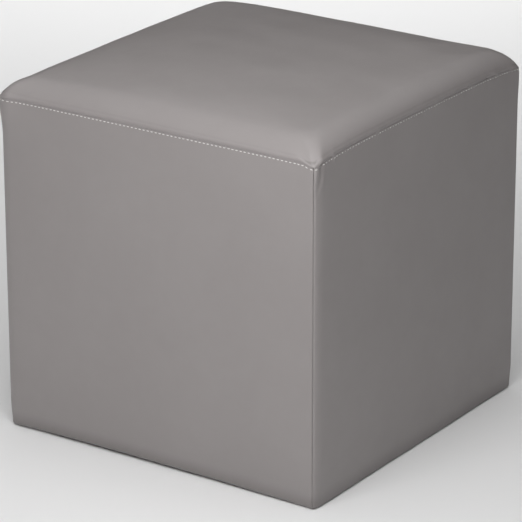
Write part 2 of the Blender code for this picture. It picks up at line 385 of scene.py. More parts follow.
def side_relief(index, along, below):
    """How far the cover stands out from its plain shape, at a distance below the seam."""
    panel = PANELS[index]
    stuffing = uneven(SIDE_STUFFING, along, below, panel.seed)
    stuffing = stuffing * (1 - fade(from_joint(along), STUFFING_FROM_JOINT))
    stuffing = stuffing * (1 - fade(below, STUFFING_FROM_SEAM))
    between = np.cos(2 * math.pi * along / STITCH_PITCH)
    pulled = panel.pull * (PULL + PULL_CHANGE * between) * bell(below - STITCH_BELOW, PULL_WIDTH)
    puckers = uneven(SIDE_PUCKERS, along, 0.0, panel.seed) * fade(below, SIDE_PUCKERS_REACH)
    puckers = puckers * (1 - np.exp(-below / PUCKERS_START))
    valley, lip = tuck_beside_corner(index, along, below)
    tuck = TUCK_DEPTH * (LIP_SHARE * lip - valley)
    return stuffing - pulled + puckers + tuck + gathers(index, along, below)


def side_surface(index, along, height, lift=0.0, relief=True):
    """Points of a side cover, or of what lies this far above it.

    Heights are of a straight panel; the arch of the hem and the run of the seam bend them.
    """
    panel = PANELS[index]
    x, y = panel_outline(along)
    world_x, world_y = turned(x, y, index)
    share = along / PANEL_LENGTH
    arch = share**HEM_LIFT_SKEW
    foot = panel.hem_lift * 4 * arch * (1 - arch)
    top = seam_height(world_x, world_y) - SEAM_GAP
    below = (SEAM_HEIGHT - height) * np.ones_like(along)
    z = height + foot * fade(height, HEM_BAND) + (top - SEAM_HEIGHT) * fade(below, SEAM_HEIGHT)

    rise = np.clip(height / SEAM_HEIGHT, 0, 1)
    out = PILLOW * np.sin(math.pi * rise) * (1 - (2 * share - 1) ** PILLOW_POWER)
    out = out + corner_flare(world_x, world_y) * fade(below, FLARE_DOWN)
    out = out + LEAN * (1 - np.clip(1 - below / LEAN_REACH, 0, 1) ** 2)
    out = out - HEM_TUCK * fade(height, HEM_BAND) + lift
    if relief:
        out = out + side_relief(index, along, below)
    away_x, away_y = outward(world_x, world_y)
    points = np.broadcast_arrays(world_x + away_x * out, world_y + away_y * out, z)
    return np.stack(points, -1)


# Points of the covers' meshes
HEM_POINTS = 8  # round the lower edge
ROLL_POINTS = 6  # round a rolled edge
HEM_STEP = 4 * MM
# (how far under the top seam a stretch ends, its step)
SIDE_STEPS = ((48 * MM, 9 * MM), (14 * MM, 3 * MM), (0.0, 0.6 * MM))
COLUMNS_PER_STITCH = 6
NARROWEST_COLUMN = 0.2 * MM


def side_rows():
    """(height, how far in) up the outside of a side cover, from the hem's flat underside."""
    rows = []
    for angle in np.linspace(0, math.pi / 2, HEM_POINTS):
        rows.append((HEM_RADIUS * (1 - math.cos(angle)), HEM_RADIUS * (1 - math.sin(angle))))
    reach = SEAM_HEIGHT - SEAM_ROLL - HEM_RADIUS
    open_face = spaced([(HEM_BAND, HEM_STEP)] + [(reach - left, step) for left, step in SIDE_STEPS])
    rows += [(HEM_RADIUS + place, 0.0) for place in open_face[1:]]
    for angle in np.linspace(0, math.pi / 2, ROLL_POINTS)[1:]:
        rows.append((SEAM_HEIGHT - SEAM_ROLL * (1 - math.sin(angle)), SEAM_ROLL * (1 - math.cos(angle))))
    return np.array(rows)


def side_columns():
    """Places along a panel: fine beside the upright seams, then a few to each stitch."""
    even = np.linspace(0, PANEL_LENGTH, STITCHES * COLUMNS_PER_STITCH + 1)
    beside = JOINT_GAP + JOINT_ROLL * (1 - np.cos(np.linspace(0, math.pi / 2, ROLL_POINTS)))
    first = beside[-1] + NARROWEST_COLUMN
    inner = even[(even > first) & (even < PANEL_LENGTH - first)]
    return np.concatenate([beside, inner, PANEL_LENGTH - beside[::-1]])


def joint_inset(along):
    """How far a cover's edge rolls in beside an upright seam."""
    share = np.clip(1 - (from_joint(along) - JOINT_GAP) / JOINT_ROLL, 0, 1)
    return JOINT_ROLL * (1 - np.sqrt(1 - share**2))


# Shares of the most: painted shade darkens a side cover, and wear and a painted highlight lighten it
SEAM_PAINTED_SHADE = 0.4
SEAM_PAINTED_SHADE_REACH = 0.5 * MM
JOINT_PAINTED_SHADE = 0.35  # of an upright seam far below the top one, and 1 at the top one
JOINT_PAINTED_SHADE_DOWN = 60 * MM
TUCK_PAINTED_SHADE = 0.5
# Painted shade, darker towards the floor where the hem turns under
HEM_PAINTED_SHADE = 0.95
HEM_PAINTED_SHADE_UP = 21 * MM
HEM_WEAR = 0.2
HEM_WEAR_UP = 3 * MM
HEM_WEAR_WIDTH = 2.5 * MM
CORNER_HIGHLIGHT_ALONG = 2.2 * MM  # painted highlight on the corner's roll, fullest just past the upright seam
CORNER_HIGHLIGHT_WIDTH = 1.8 * MM


def side_tones(index, along, height):
    """(painted shade, wear and painted highlight) of a side cover's outside."""
    below = (SEAM_HEIGHT - height) * np.ones_like(along)
    joint = JOINT_PAINTED_SHADE + (1 - JOINT_PAINTED_SHADE) * fade(below, JOINT_PAINTED_SHADE_DOWN)
    # Painted shade: darker in the seam groove, beside the upright seams and in the tuck's valley
    painted_shades = (
        SEAM_PAINTED_SHADE * fade(below, SEAM_PAINTED_SHADE_REACH),
        joint * joint_inset(along) / JOINT_ROLL,
        TUCK_PAINTED_SHADE * tuck_beside_corner(index, along, below)[0],
        HEM_PAINTED_SHADE * fade(height, HEM_PAINTED_SHADE_UP),
    )
    painted_shade = painted_shades[0]
    for other in painted_shades[1:]:
        painted_shade = np.maximum(painted_shade, other)
    # Real wear at the hem; a painted highlight on the corner's roll just past the upright seam
    hem_wear = HEM_WEAR * bell(height - HEM_WEAR_UP, HEM_WEAR_WIDTH)
    return painted_shade, np.maximum(hem_wear, bell(along - CORNER_HIGHLIGHT_ALONG, CORNER_HIGHLIGHT_WIDTH))


def make_side_cover(index, material, settled):
    """A closed piece: the cover outside, and a plain flat back against the board inside."""
    columns, rows = side_columns(), side_rows()
    along, height, inset = columns[:, None], rows[None, :, 0], rows[None, :, 1]
    outside = side_surface(index, along, height, lift=-inset - joint_inset(along))
    outside = outside + settled(columns, rows[:, 0])

    back_x = np.clip((-HALF + WALL) + (SIDE - 2 * WALL) * along[:, 0] / PANEL_LENGTH, -HALF, HALF)
    back_x, back_y = turned(back_x, np.full_like(back_x, -HALF + WALL), index)
    top_back = np.stack([back_x, back_y, outside[:, -1, 2]], -1)
    foot_back = np.stack([back_x, back_y, outside[:, 0, 2]], -1)
    section = np.concatenate([outside, top_back[:, None], foot_back[:, None]], 1)

    sections, around = section.shape[:2]
    faces = grid_faces(sections, around, closed_columns=True).tolist()
    faces.append(list(range(around)))
    faces.append(list(range(sections * around - 1, (sections - 1) * around - 1, -1)))

    painted_shade, wear_and_highlight = side_tones(index, along, height)
    hidden = np.zeros((sections, 2))
    attributes = {"painted_shade": np.hstack([painted_shade, hidden]), "wear_and_highlight": np.hstack([wear_and_highlight, hidden])}
    name = PANELS[index].node.replace("panel", "cover")
    return add_piece(name, section.reshape(-1, 3), faces, material, attributes)


# --------------------------------------------------------------------------------------- seat


SEAT_ROLL_POINTS = 7  # round the seat's edge, where it turns into the seam
SHOULDER_POINTS = 80


def seat_profile():
    """(way up the cover, how far in, height above the seam) from the seam to the seat's middle."""
    roll = np.linspace(0, math.pi / 2, SEAT_ROLL_POINTS)
    angle = np.linspace(0, math.pi / 2, SHOULDER_POINTS)[1:]
    over = SHOULDER_RUN * (1 - np.cos(angle) ** (2 / SHOULDER_POWER))
    inset = np.concatenate([SEAM_ROLL * (1 - np.sin(roll)), over, [HALF]])
    up_over = SEAM_ROLL + (SHOULDER_RISE - SEAM_ROLL) * np.sin(angle) ** (2 / SHOULDER_POWER)
    rise = np.concatenate([SEAM_ROLL * (1 - np.cos(roll)), up_over, [SHOULDER_RISE]])
    way = np.concatenate([[0.0], np.cumsum(np.hypot(np.diff(inset), np.diff(rise)))])
    return way, inset, rise


def rounded_square(t, half, radius):
    """A point of one side of a rounded square and of half the corners at its ends; t from -1 to 1."""
    radius = np.minimum(radius, half)
    straight = half - radius
    distance = abs(t) * (straight + radius * math.pi / 4)
    angle = np.clip((distance - straight) / np.maximum(radius, TINY), 0, math.pi / 4)
    x = np.minimum(distance, straight) + radius * np.sin(angle)
    y = -(straight + radius * np.cos(angle))
    return np.sign(t) * x, y


def seam_outline(t):
    """The same for the line where the seat is sewn on, with how far along which panel each is."""
    along = ARC_LENGTH / 2 + PANEL_LENGTH * (t + 1) / 2
    on_next = along > PANEL_LENGTH
    along = np.where(on_next, along - PANEL_LENGTH, along)
    x, y = panel_outline(along)
    next_x, next_y = turned(x, y, 1)
    return np.where(on_next, next_x, x), np.where(on_next, next_y, y), along, on_next


def seat_grid(way_places):
    """Plain points of the seat's cover on a square grid, with what the relief needs to know.

    Each ring of the grid lies one step further up the cover; the last is the seat's middle.
    """
    way, inset_at, rise_at = seat_profile()
    line = seat_line(way_places)
    across, depth = np.meshgrid(line, line, indexing="ij")
    ring = np.maximum(abs(across), abs(depth))
    front, right = (depth <= -abs(across)), (across >= abs(depth)) & (depth > -abs(across))
    back = (depth >= abs(across)) & ~front & ~right
    sides = np.select([front, right, back], [0, 1, 2], 3)
    t = np.select([front, right, back], [across, depth, -across], -depth) / np.maximum(ring, TINY)
    up = (1 - ring) * way[-1]

    inset, rise = np.interp(up, way, inset_at), np.interp(up, way, rise_at)
    edge_x, edge_y, along, on_next = seam_outline(t)
    roundings = np.array([panel.round_corner for panel in PANELS])
    roundest = roundings[(sides + (t > 0)) % len(PANELS)]
    radius = roundest + (CORNER_ROUND - roundest) * fade(inset, SHOULDER_CORNER_REACH)
    x, y = rounded_square(t, HALF - inset, radius)
    plain_x, plain_y = rounded_square(t, HALF, CORNER_ROUND)
    near = np.exp(-up / OUTLINE_CHANGE)
    x, y = x + (edge_x - plain_x) * near, y + (edge_y - plain_y) * near
    x, y = turned_each(x, y, sides)
    edge_height = seam_height(*turned_each(edge_x, edge_y, sides), spread=up)
    height = seam_height(x, y)
    height = height + (edge_height - height) * fade(up, DIP_UP)

    to_edge = HALF / half_width_at(x, y)
    away_x, away_y = outward(x * to_edge, y * to_edge)
    flare = corner_flare(x, y) * fade(rise, FLARE_UP)
    dome = (1 - abs(x / HALF) ** DOME_POWER) * (1 - abs(y / HALF) ** DOME_POWER)
    ear = of_corner(x, y, [panel.ear for panel in PANELS]) * fade(corner_distance(x, y), EAR_REACH)
    z = height + SEAM_GAP + rise + CENTRE_RISE * dome + ear * (1 - np.exp(-up / EAR_UP))
    points = np.stack([x + away_x * flare, y + away_y * flare, z], -1)
    return points, up, along, (sides + on_next) % len(PANELS)


def grid_normals(points):
    """Directions out of a grid of points."""
    one, other = np.gradient(points, axis=0), np.gradient(points, axis=1)
    normal = np.cross(one, other)
    return normal / np.maximum(np.linalg.norm(normal, axis=-1, keepdims=True), TINY_AREA)


# The folded edges of both covers lie inside the seat's edge, as a low ridge with a line above it
RIDGE_WIDTH = 4.6 * MM
RIDGE_HEIGHT = 0.18 * MM
RIDGE_NARROWING = 0.75  # the share of its width that it loses towards an upright seam
RIDGE_NARROW_REACH = 8 * MM
RIDGE_CREST = 0.66  # how far through its width the crest lies
RIDGE_SLOPE = 0.36  # share of its width over which the crest falls off
LINE_DEPTH = 0.14 * MM
LINE_MORE = 0.22 * MM  # and so much deeper towards an upright seam
LINE_MORE_REACH = 11 * MM
LINE_ABOVE = 0.8 * MM  # from the top of the ridge
LINE_WIDTH = 0.9 * MM
SEAT_PUCKERS = Ripples(depth=0.12 * MM, shortest=7 * MM, longest=24 * MM, seed=31)
SEAT_PUCKERS_REACH = 16 * MM
SEAT_STUFFING = Ripples(depth=0.35 * MM, shortest=55 * MM, longest=170 * MM, seed=32)
SEAT_STUFFING_START = 40 * MM  # it grows over so much of the cover above the seam


def seat_relief(points, up, along, panels):
    """How far the seat's cover stands out: the seam's folded edges, puckers and soft stuffing."""
    width = RIDGE_WIDTH * (1 - RIDGE_NARROWING * fade(from_joint(along), RIDGE_NARROW_REACH))
    ridge = RIDGE_HEIGHT * bell(up - RIDGE_CREST * width, RIDGE_SLOPE * width)
    line = LINE_DEPTH + LINE_MORE * fade(from_joint(along), LINE_MORE_REACH)
    line = line * bell(up - width - LINE_ABOVE, LINE_WIDTH)
    puckers = uneven(SEAT_PUCKERS, along, 0.0) * fade(up, SEAT_PUCKERS_REACH)
    puckers = puckers * (1 - np.exp(-up / PUCKERS_START))
    stuffing = uneven(SEAT_STUFFING, points[..., 0], points[..., 1])
    stuffing = stuffing * (1 - fade(up, SEAT_STUFFING_START))
    folds = [gathers(index, along, up) for index in range(len(PANELS))]
    return ridge - line + puckers + stuffing + np.choose(panels, folds)


# (how far up the seat's cover a stretch ends, its step)
SEAT_STEPS = ((8 * MM, 0.45 * MM), (20 * MM, 1.0 * MM), (60 * MM, 2.0 * MM))
CROWN_STEP = 3.2 * MM


def seat_ways():
    """Steps up the seat's cover: fine at the seam, wider over the crown."""
    return spaced([*SEAT_STEPS, (seat_profile()[0][-1], CROWN_STEP)])


def ring_of(count):
    """Numbers of the points round the edge of a square grid, front first, anticlockwise."""
    number = np.arange(count * count).reshape(count, count)
    front, right = number[:-1, 0], number[-1, :-1]
    back, left = number[:0:-1, -1], number[0, :0:-1]
    return np.concatenate([front, right, back, left])


# Shares of the most: painted shade darkens the seat's cover at its seam, and a painted highlight
# lightens its shoulder
SEAT_EDGE_PAINTED_SHADE = 0.25
LINE_PAINTED_SHADE = 0.8
LINE_PAINTED_SHADE_REACH = 12 * MM  # from an upright seam
SEAT_HIGHLIGHT = 0.5
SEAT_HIGHLIGHT_UP = 24 * MM
SEAT_HIGHLIGHT_WIDTH = 14 * MM
SEAT_HIGHLIGHT_LEAST = 0.4  # share of it that is left in the middle of a side
SEAT_HIGHLIGHT_REACH = 60 * MM  # from an upright seam


def seat_tones(up, along):
    """(painted shade, painted highlight) of the seat's cover."""
    # Painted shade at the seam, and in the line above the ridge near the upright seams
    edge_painted_shade = SEAT_EDGE_PAINTED_SHADE * fade(up, SEAM_PAINTED_SHADE_REACH)
    line_painted_shade = LINE_PAINTED_SHADE * bell(up - RIDGE_WIDTH, LINE_WIDTH)
    line_painted_shade = line_painted_shade * fade(from_joint(along), LINE_PAINTED_SHADE_REACH)
    # A painted highlight along the shoulder, strongest towards the upright seams
    near_joint = fade(from_joint(along), SEAT_HIGHLIGHT_REACH)
    wear_and_highlight = SEAT_HIGHLIGHT * bell(up - SEAT_HIGHLIGHT_UP, SEAT_HIGHLIGHT_WIDTH)
    wear_and_highlight = wear_and_highlight * (SEAT_HIGHLIGHT_LEAST + (1 - SEAT_HIGHLIGHT_LEAST) * near_joint)
    return np.maximum(edge_painted_shade, line_painted_shade), wear_and_highlight


def make_seat_cover(material, settled):
    """A closed piece: the cover, a rim over the side panels, and a shallow dish below."""
    ways = seat_ways()
    points, up, along, panels = seat_grid(ways)
    points = points + settled(ways)
    points = points + grid_normals(points) * seat_relief(points, up, along, panels)[..., None]
    count = len(points)
    flat = points.reshape(-1, 3)
    faces = grid_faces(count, count).tolist()

    edge = ring_of(count)
    rim = flat[edge]
    scale = (HALF - WALL) / half_width_at(rim[:, 0], rim[:, 1])
    inner = np.stack([rim[:, 0] * scale, rim[:, 1] * scale, rim[:, 2]], -1)
    middle = np.array([[0.0, 0.0, SEAM_HEIGHT]])
    first = len(flat)
    around = np.arange(len(edge))
    following = (around + 1) % len(edge)
    band = np.stack([edge[around], first + around, first + following, edge[following]], -1)
    centre = first + len(edge)
    fan = np.stack([first + around, np.full(len(edge), centre), first + following], -1)
    faces += band.tolist() + fan.tolist()

    painted_shade, wear_and_highlight = seat_tones(up, along)
    hidden = np.zeros(len(edge) + 1)
    attributes = {
        "painted_shade": np.concatenate([painted_shade.ravel(), hidden]),
        "wear_and_highlight": np.concatenate([wear_and_highlight.ravel(), hidden]),
    }
    return add_piece("seat_cover", np.vstack([flat, inner, middle]), faces, material, attributes)


# -------------------------------------------------------------------------------- simulation

SETTLE_FRAMES = 20
SETTLE_STEP = 6 * MM
SEAT_PRESSURE = 0.3
SEAT_SLACK = 1.2 * MM
SIDE_PRESSURE = 0.15
SIDE_SLACK = 0.8 * MM
SLACK_FROM_EDGE = 60 * MM  # it grows over so much beside the seams
SEAT_SLACK_START = 20 * MM  # up the seat's cover
MOST_TRAVEL = 4 * MM
CLOTH_SETTINGS = {
    "quality": 6,
    "mass": 0.4,
    "tension_stiffness": 40,
    "compression_stiffness": 40,
    "shear_stiffness": 20,
    "bending_stiffness": 2.0,
    "air_damping": 8,
    "vertex_group_mass": "held",
    "pin_stiffness": 1.0,
    "use_pressure": True,
}


def blow_out(points, pressure):
    """Lets the cloth simulation press a grid of cover out from its stuffing, held at its edges."""
    rows, columns = points.shape[:2]
    mesh = bpy.data.meshes.new("settling")
    mesh.from_pydata(points.reshape(-1, 3).tolist(), [], grid_faces(rows, columns).tolist())
    obj = bpy.data.objects.new("settling", mesh)
    bpy.context.scene.collection.objects.link(obj)
    number = np.arange(rows * columns).reshape(rows, columns)
    held = np.concatenate([number[0], number[-1], number[:, 0], number[:, -1]])
    group = obj.vertex_groups.new(name=CLOTH_SETTINGS["vertex_group_mass"])
    group.add(held.tolist(), 1.0, "REPLACE")
    cloth = obj.modifiers.new("cloth", "CLOTH")
    for name, value in CLOTH_SETTINGS.items():
        setattr(cloth.settings, name, value)
    cloth.settings.uniform_pressure_force = pressure
    cloth.settings.effector_weights.gravity = 0
    cloth.point_cache.frame_start = 1
    cloth.point_cache.frame_end = SETTLE_FRAMES
    scene = bpy.context.scene
    for frame_number in range(1, SETTLE_FRAMES + 1):
        scene.frame_set(frame_number)
    evaluated = obj.evaluated_get(bpy.context.evaluated_depsgraph_get())
    moved = np.empty(rows * columns * 3, np.float32)
    evaluated.data.vertices.foreach_get("co", moved)
    scene.frame_set(1)
    bpy.data.objects.remove(obj)
    bpy.data.meshes.remove(mesh)
    offset = moved.reshape(rows, columns, 3) - points
    length = np.linalg.norm(offset, axis=-1, keepdims=True)
    return offset * np.minimum(1, MOST_TRAVEL / np.maximum(length, TINY))


def settle(points, slack, pressure):
    """How far each point of a cover moves when it starts a little slack and is then stuffed."""
    started = points - grid_normals(points) * slack[..., None]
    return started + blow_out(started, pressure) - points


def settle_side(index):
    """A function that gives how far a side's cover settles, at (along, height) places of a grid."""
    along = spaced([(PANEL_LENGTH, SETTLE_STEP)])
    height = HEM_RADIUS + spaced([(SEAM_HEIGHT - SEAM_ROLL - HEM_RADIUS, SETTLE_STEP)])
    points = side_surface(index, along[:, None], height[None, :], relief=False)
    from_edge = np.minimum(height - height[0], height[-1] - height)[None, :]
    slack = SIDE_SLACK * (1 - fade(from_joint(along)[:, None], SLACK_FROM_EDGE))
    slack = slack * (1 - fade(from_edge, SLACK_FROM_EDGE))
    offset = settle(points, slack, SIDE_PRESSURE)
    return lambda alongs, heights: spline_grid(offset, along, height, alongs, heights)


def seat_line(ways):
    """Both ways across the seat's grid, from -1 to 1, for its steps up the cover."""
    shares = 1 - ways / seat_profile()[0][-1]
    return np.concatenate([-shares, shares[-2::-1]])


def settle_seat():
    """A function that gives how far the seat's cover settles, for the steps of a seat grid."""
    coarse = spaced([(seat_profile()[0][-1], SETTLE_STEP)])
    points, up, _, _ = seat_grid(coarse)
    slack = SEAT_SLACK * (1 - fade(up - SEAT_SLACK_START, SLACK_FROM_EDGE))
    offset = settle(points, slack, SEAT_PRESSURE)
    line = seat_line(coarse)
    return lambda ways: spline_grid(offset, line, line, seat_line(ways), seat_line(ways))


# ----------------------------------------------------------------------------------- stitches


STITCH_LENGTH = 3.3 * MM
THREAD_WIDTH = 0.85 * MM
THREAD_HEIGHT = 0.62 * MM
THREAD_RINGS = 9  # of points, along a stitch
THREAD_SIDES = 10
THREAD_TAPER = 3  # 2 is an ellipse, and more is fuller towards the ends
THREAD_TIP = 0.02  # least thickness squared, as a share
STRANDS = 3
STRAND_DEPTH = 0.07  # how much they stand out, as a share of the thread's thickness
STRAND_TURN = 7  # radians from the middle of a stitch to its end
BOW = 0.16 * MM  # how far the middle of a stitch stands off the cover
BOW_FALL = 0.55 * MM  # how far below that its ends lie
BOW_POWER = 2.5


def stitch_shape():
    """One stitch: (along, across, up) of its rings of points, from one hole to the other."""
    s = np.linspace(-1, 1, THREAD_RINGS)[:, None]
    angle = np.linspace(0, 2 * math.pi, THREAD_SIDES, endpoint=False)[None, :]
    full = np.sqrt(np.clip(1 - abs(s) ** THREAD_TAPER, THREAD_TIP, 1))
    strands = 1 + STRAND_DEPTH * np.cos(STRANDS * angle - STRAND_TURN * s)
    across = THREAD_WIDTH / 2 * full * strands * np.cos(angle)
    lift = THREAD_HEIGHT / 2 * full * strands * np.sin(angle)
    bow = BOW - BOW_FALL * abs(s) ** BOW_POWER
    return STITCH_LENGTH / 2 * s * np.ones_like(angle), across, lift + bow


STITCH_SEED = 5
UNEVEN_PITCH = 0.03  # of a stitch's place, as a share of the pitch
UNEVEN_SLANT = 0.03
SUNK_SHARES = (0.3, 1.3)  # least and most of the depth at which a panel's stitches lie


def make_stitches(material, settled_sides):
    """One row of stitches on the side covers, just under the seam, all the way round."""
    along_off, across, lift = stitch_shape()
    rings, sides = along_off.shape
    tube = grid_faces(rings, sides, closed_columns=True)[:, ::-1]
    ends = [list(range(sides)), list(range(rings * sides - 1, (rings - 1) * sides - 1, -1))]
    draw = np.random.default_rng(STITCH_SEED)
    points, faces = [], []
    for index, settled in enumerate(settled_sides):
        sunk = PANELS[index].thread_sunk
        unevenness = UNEVEN_PITCH * draw.normal(size=STITCHES)
        middles = (np.arange(STITCHES) + 0.5 + unevenness) * STITCH_PITCH
        carried = settled(middles, np.array([SEAM_HEIGHT - STITCH_BELOW]))[:, 0]
        for middle, offset in zip(middles, carried):
            slant = UNEVEN_SLANT * draw.normal()
            depth = sunk * draw.uniform(*SUNK_SHARES)
            along = np.clip(middle + along_off, JOINT_GAP, PANEL_LENGTH - JOINT_GAP)
            height = SEAM_HEIGHT - STITCH_BELOW + across + slant * along_off
            first = len(points) * rings * sides
            points.append((side_surface(index, along, height, lift - depth) + offset).reshape(-1, 3))
            faces += (tube + first).tolist()
            faces += [[first + i for i in end] for end in ends]
    return add_piece("stitches", np.vstack(points), faces, material)


# ---------------------------------------------------------------------------------- underside


UNDERSIDE_IN = 0.6 * MM  # how far inside the base panel's edges the cloth ends
UNDERSIDE_THICKNESS = 1.6 * MM
UNDERSIDE_ABOVE_FLOOR = 1.4 * MM
UNDERSIDE_EDGE_RISE = 0.7 * MM  # where it turns up at its edges
UNDERSIDE_EDGE_REACH = 3 * MM
UNDERSIDE_POINTS = 121  # along each side
UNDERSIDE_SLACK = Ripples(depth=0.8 * MM, shortest=40 * MM, longest=200 * MM, seed=41)
UNDERSIDE_SLACK_START = 30 * MM  # it grows over so much inside the edges


def make_underside(material):
    """Cloth stretched over the bottom, inside the turned-under edges of the covers."""
    low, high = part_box("base_panel")
    line = np.linspace(low.x + UNDERSIDE_IN, high.x - UNDERSIDE_IN, UNDERSIDE_POINTS)
    x, y = np.meshgrid(line, line, indexing="ij")
    from_edge = np.minimum(high.x - abs(x), high.y - abs(y))
    slack = uneven(UNDERSIDE_SLACK, x, y) * (1 - fade(from_edge, UNDERSIDE_SLACK_START))
    bottom = UNDERSIDE_ABOVE_FLOOR + slack + UNDERSIDE_EDGE_RISE * fade(from_edge, UNDERSIDE_EDGE_REACH)
    lower = np.stack([x, y, bottom], -1).reshape(-1, 3)
    upper = np.stack([x, y, bottom + UNDERSIDE_THICKNESS], -1).reshape(-1, 3)
    count = len(line)
    faces = grid_faces(count, count)
    ring = ring_of(count)
    following = np.roll(ring, -1)
    wall = np.stack([ring, following, following + count * count, ring + count * count], -1)
    every = faces[:, ::-1].tolist() + (faces + count * count).tolist() + wall.tolist()
    return add_piece("underside_cloth", np.vstack([lower, upper]), every, material)


# ---------------------------------------------------------------------------------- materials


class Nodes:
    """A material's node tree, with short calls to add to it."""

    def __init__(self, name):
        self.material = bpy.data.materials.new(name)
        self.material.use_nodes = True
        self.tree = self.material.node_tree
        self.shader = self.tree.nodes["Principled BSDF"]
        place = self.add("ShaderNodeTexCoord")
        self.place = place.outputs["Object"]

    def add(self, kind, inputs=None, **settings):
        node = self.tree.nodes.new(kind)
        for name, value in settings.items():
            setattr(node, name, value)
        for name, value in (inputs or {}).items():
            self.feed(node.inputs[name], value)
        return node

    def feed(self, socket, value):
        if isinstance(value, bpy.types.NodeSocket):
            self.tree.links.new(value, socket)
        else:
            socket.default_value = value

    def noise(self, scale, detail=2.0, roughness=0.5):
        inputs = {"Vector": self.place, "Scale": scale, "Detail": detail, "Roughness": roughness}
        return self.add("ShaderNodeTexNoise", inputs).outputs["Fac"]

    def cells(self, scale, feature="F1", randomness=1.0):
        inputs = {"Vector": self.place, "Scale": scale, "Randomness": randomness}
        return self.add("ShaderNodeTexVoronoi", inputs, feature=feature).outputs["Distance"]

    def between(self, value, low, high, low_to=0.0, high_to=1.0):
        inputs = {"Value": value, "From Min": low, "From Max": high, "To Min": low_to, "To Max": high_to}
        return self.add("ShaderNodeMapRange", inputs).outputs["Result"]

    def math(self, operation, one, other):
        return self.add("ShaderNodeMath", {0: one, 1: other}, operation=operation).outputs[0]

    def mix(self, share, one, other):
        node = self.add("ShaderNodeMix", data_type="RGBA")
        self.feed(node.inputs["Factor"], share)
        self.feed(node.inputs["A"], one)
        self.feed(node.inputs["B"], other)
        return node.outputs["Result"]

    def attribute(self, name):
        return self.add("ShaderNodeAttribute", attribute_name=name).outputs["Fac"]

    def bump(self, height, distance, strength=1.0, under=None):
        node = self.add("ShaderNodeBump", {"Height": height, "Distance": distance, "Strength": strength})
        if under is not None:
            self.feed(node.inputs["Normal"], under)
        return node.outputs["Normal"]

    def finish(self, color, roughness, normal):
        self.feed(self.shader.inputs["Base Color"], color)
        self.feed(self.shader.inputs["Roughness"], roughness)
        self.feed(self.shader.inputs["Normal"], normal)
        return self.material


LEATHER = (0.268, 0.247, 0.244, 1.0)
LEATHER_LIGHT = (0.282, 0.261, 0.258, 1.0)
# Colours of wear and painted highlight, then of painted shade
LEATHER_WEAR_AND_HIGHLIGHT = (0.317, 0.295, 0.292, 1.0)
LEATHER_PAINTED_SHADE = (0.153, 0.14, 0.137, 1.0)
SPOTS_SHOW = 0.35
WEAR_AND_HIGHLIGHT_SHOWS = 0.35
WEAR_SMOOTHS = 0.08
PAINTED_SHADE_SHOWS = 0.7
PEBBLES_SHOW = 0.05  # in the roughness


def leather(name):
    nodes = Nodes(name)
    nodes.shader.inputs["Specular IOR Level"].default_value = 0.5
    wear_and_highlight, painted_shade = nodes.attribute("wear_and_highlight"), nodes.attribute("painted_shade")
    clouds, spots = nodes.noise(scale=7, detail=3), nodes.noise(scale=55, detail=3)
    tone = nodes.math("ADD", clouds, nodes.math("MULTIPLY", spots, SPOTS_SHOW))
    color = nodes.mix(nodes.between(tone, low=0.5, high=0.9), LEATHER, LEATHER_LIGHT)
    # Wear and painted highlights lighten the colour
    color = nodes.mix(nodes.math("MULTIPLY", wear_and_highlight, WEAR_AND_HIGHLIGHT_SHOWS), color, LEATHER_WEAR_AND_HIGHLIGHT)
    # Painted shade darkens the colour in the seams, the tuck and towards the floor
    color = nodes.mix(nodes.math("MULTIPLY", painted_shade, PAINTED_SHADE_SHOWS), color, LEATHER_PAINTED_SHADE)

    pebbles = nodes.cells(scale=950, feature="SMOOTH_F1")
    pores = nodes.noise(scale=2600)
    sheen = nodes.noise(scale=24, detail=4)
    roughness = nodes.between(sheen, low=0.3, high=0.7, low_to=0.35, high_to=0.44)
    roughness = nodes.math("SUBTRACT", roughness, nodes.math("MULTIPLY", wear_and_highlight, WEAR_SMOOTHS))
    roughness = nodes.math("ADD", roughness, nodes.math("MULTIPLY", pebbles, PEBBLES_SHOW))
    soft = nodes.bump(nodes.noise(scale=140, detail=3), distance=0.05 * MM, strength=0.5)
    grain = nodes.bump(pebbles, distance=0.06 * MM, strength=0.35, under=soft)
    grain = nodes.bump(pores, distance=0.02 * MM, strength=0.25, under=grain)
    return nodes.finish(color, roughness, grain)


THREAD_DARK = (0.60, 0.59, 0.57, 1.0)
THREAD_LIGHT = (0.76, 0.75, 0.73, 1.0)


def thread(name):
    nodes = Nodes(name)
    nodes.shader.inputs["Sheen Weight"].default_value = 0.25
    nodes.shader.inputs["Sheen Roughness"].default_value = 0.5
    color = nodes.mix(nodes.noise(scale=400), THREAD_DARK, THREAD_LIGHT)
    fibres = nodes.noise(scale=4200, detail=3)
    roughness = nodes.between(fibres, low=0.3, high=0.7, low_to=0.6, high_to=0.8)
    return nodes.finish(color, roughness, nodes.bump(fibres, distance=0.04 * MM, strength=0.6))


UNDERSIDE_DARK = (0.018, 0.018, 0.019, 1.0)
UNDERSIDE_LIGHT = (0.045, 0.045, 0.048, 1.0)


def underside_cloth(name):
    nodes = Nodes(name)
    nodes.shader.inputs["Specular IOR Level"].default_value = 0.25
    fibres = nodes.noise(scale=1500, detail=5, roughness=0.7)
    dots = nodes.cells(scale=420, randomness=0.15)
    color = nodes.mix(nodes.between(fibres, low=0.35, high=0.65), UNDERSIDE_DARK, UNDERSIDE_LIGHT)
    roughness = nodes.between(fibres, low=0.3, high=0.7, low_to=0.8, high_to=0.95)
    height = nodes.math("ADD", fibres, nodes.between(dots, low=0.0, high=0.5, high_to=0.8))
    return nodes.finish(color, roughness, nodes.bump(height, distance=0.15 * MM, strength=0.6))


# ------------------------------------------------------------------------- floor, lights, camera

